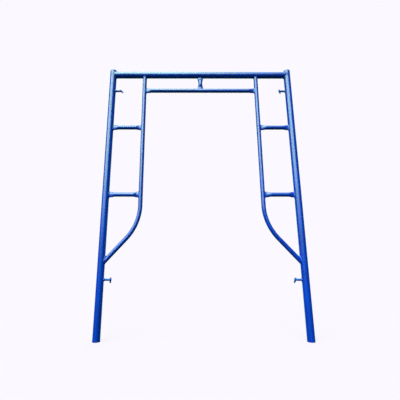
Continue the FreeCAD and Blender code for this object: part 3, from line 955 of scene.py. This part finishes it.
# Azimuths are degrees left of straight in front, and edges are cosines round them. Low and high
# are heights of the direction, where 0 is level and 1 is straight up.
KEY = {"azimuth": 28, "edge": 0.74, "soft": 0.18, "low": 0.04, "high": 0.44, "strength": 9.2}
BACK = {"azimuth": 180, "edge": 0.86, "soft": 0.08, "low": -0.45, "high": -0.02, "strength": 2.2}
ROOF = {"low": 0.55, "high": 0.95, "strength": 2.6}
LIGHT_COLOUR = (0.67, 1.0, 0.80, 1)
FAINT_GLOW = (0.0, 0.06, 0.05, 1)
FILL_POWER = 2.0
FILL_COLOUR = (0.85, 0.97, 1.0)
FILL_SPREAD = math.radians(110)
FILL_TIP = math.radians(-62)
SENSOR = 36.0                 # millimetres, as is the lens
LENS = 24.99
SHIFT = (0.0364, 0.0112)
EYE = (-0.1021, -1.6460, 0.3979)
LOOK_UP = math.radians(12.74)
LOOK_ASIDE = math.radians(-0.07)


def make_floor():
    """A pale floor with a glow of its own, so that it meets the backdrop without a line.

    The paint neither mirrors it nor is lit by it.
    """
    bpy.ops.mesh.primitive_plane_add(size=FLOOR_SIZE, location=(0, 0, -FLOOR_DROP))
    floor = bpy.context.object
    floor.name = "studio_floor"
    material = bpy.data.materials.new("pale_floor")
    material.use_nodes = True
    shader = material.node_tree.nodes["Principled BSDF"]
    shader.inputs["Base Color"].default_value = FLOOR_TINT
    shader.inputs["Roughness"].default_value = 0.9
    shader.inputs["Specular IOR Level"].default_value = 0.0
    shader.inputs["Emission Color"].default_value = FLOOR_GLOW
    shader.inputs["Emission Strength"].default_value = 1.0
    floor.data.materials.append(material)
    floor.visible_diffuse = False
    floor.visible_glossy = False


def lobe(tree, direction, height, azimuth, edge, soft, low, high, strength):
    """One wide soft light in the surroundings.

    Its brightness is a smooth step of the height, from low to high, times a smooth step of the
    direction's cosine to the light's azimuth, round the edge. A full direction narrows the light
    with height, and a level one doesn't.
    """
    toward = tree.nodes.new("ShaderNodeVectorMath")
    toward.operation = "DOT_PRODUCT"
    tree.links.new(direction, toward.inputs[0])
    angle = math.radians(azimuth)
    toward.inputs[1].default_value = (-math.sin(angle), -math.cos(angle), 0)
    above = ramp(tree, height, low, high)
    within = ramp(tree, toward.outputs["Value"], edge - soft, edge + soft)
    return calc(tree, "MULTIPLY", calc(tree, "MULTIPLY", above, within), strength)


def make_surroundings():
    """A studio as the paint sees it, and a plain pale wall as the camera sees it.

    The paint sees a wide soft light in front and to the left, a dimmer one behind, a bright roof,
    and a faint glow from all round.
    """
    world = bpy.data.worlds.new("studio")
    bpy.context.scene.world = world
    world.use_nodes = True
    tree = world.node_tree
    tree.nodes.clear()
    direction = tree.nodes.new("ShaderNodeTexCoord").outputs["Generated"]
    split = tree.nodes.new("ShaderNodeSeparateXYZ")
    tree.links.new(direction, split.inputs[0])
    height = split.outputs["Z"]
    level = tree.nodes.new("ShaderNodeVectorMath")
    level.operation = "NORMALIZE"
    tree.links.new(stretched(tree, direction, (1.0, 1.0, 0.0)), level.inputs[0])
    roof = calc(tree, "MULTIPLY", ramp(tree, height, ROOF["low"], ROOF["high"]), ROOF["strength"])
    front = lobe(tree, level.outputs[0], height, **KEY)
    light = calc(tree, "ADD", front, lobe(tree, direction, height, **BACK))
    light = calc(tree, "ADD", light, roof)
    glow = tree.nodes.new("ShaderNodeBackground")
    glow.inputs["Color"].default_value = LIGHT_COLOUR
    tree.links.new(light, glow.inputs["Strength"])
    faint = tree.nodes.new("ShaderNodeBackground")
    faint.inputs["Color"].default_value = FAINT_GLOW
    together = tree.nodes.new("ShaderNodeAddShader")
    tree.links.new(glow.outputs[0], together.inputs[0])
    tree.links.new(faint.outputs[0], together.inputs[1])
    wall = tree.nodes.new("ShaderNodeBackground")
    wall.inputs["Color"].default_value = PALE
    choice = tree.nodes.new("ShaderNodeMixShader")
    seen = tree.nodes.new("ShaderNodeLightPath").outputs["Is Camera Ray"]
    tree.links.new(seen, choice.inputs["Fac"])
    tree.links.new(together.outputs[0], choice.inputs[1])
    tree.links.new(wall.outputs[0], choice.inputs[2])
    output = tree.nodes.new("ShaderNodeOutputWorld")
    tree.links.new(choice.outputs[0], output.inputs["Surface"])


def make_fill():
    """A wide soft lamp behind the frame, so that its back isn't black. The paint doesn't mirror it."""
    data = bpy.data.lights.new("fill", "SUN")
    data.energy = FILL_POWER
    data.angle = FILL_SPREAD
    data.color = FILL_COLOUR
    lamp = bpy.data.objects.new("fill", data)
    bpy.context.collection.objects.link(lamp)
    lamp.rotation_euler = (FILL_TIP, 0.0, 0.0)
    lamp.visible_glossy = False


def make_camera():
    """The viewing camera: low, square on, tipped up, with a wide lens."""
    data = bpy.data.cameras.new("camera")
    data.sensor_width = SENSOR
    data.lens = LENS
    data.shift_x, data.shift_y = SHIFT
    data.clip_end = 2 * FLOOR_SIZE
    camera = bpy.data.objects.new("camera", data)
    bpy.context.collection.objects.link(camera)
    camera.location = EYE
    camera.rotation_euler = (math.pi / 2 + LOOK_UP, 0.0, LOOK_ASIDE)
    bpy.context.scene.camera = camera


paint_cad_nodes()
make_tubes()
make_welds()
make_rivets()
make_floor()
make_surroundings()
make_fill()
make_camera()
bpy.context.scene.view_settings.view_transform = "Standard"
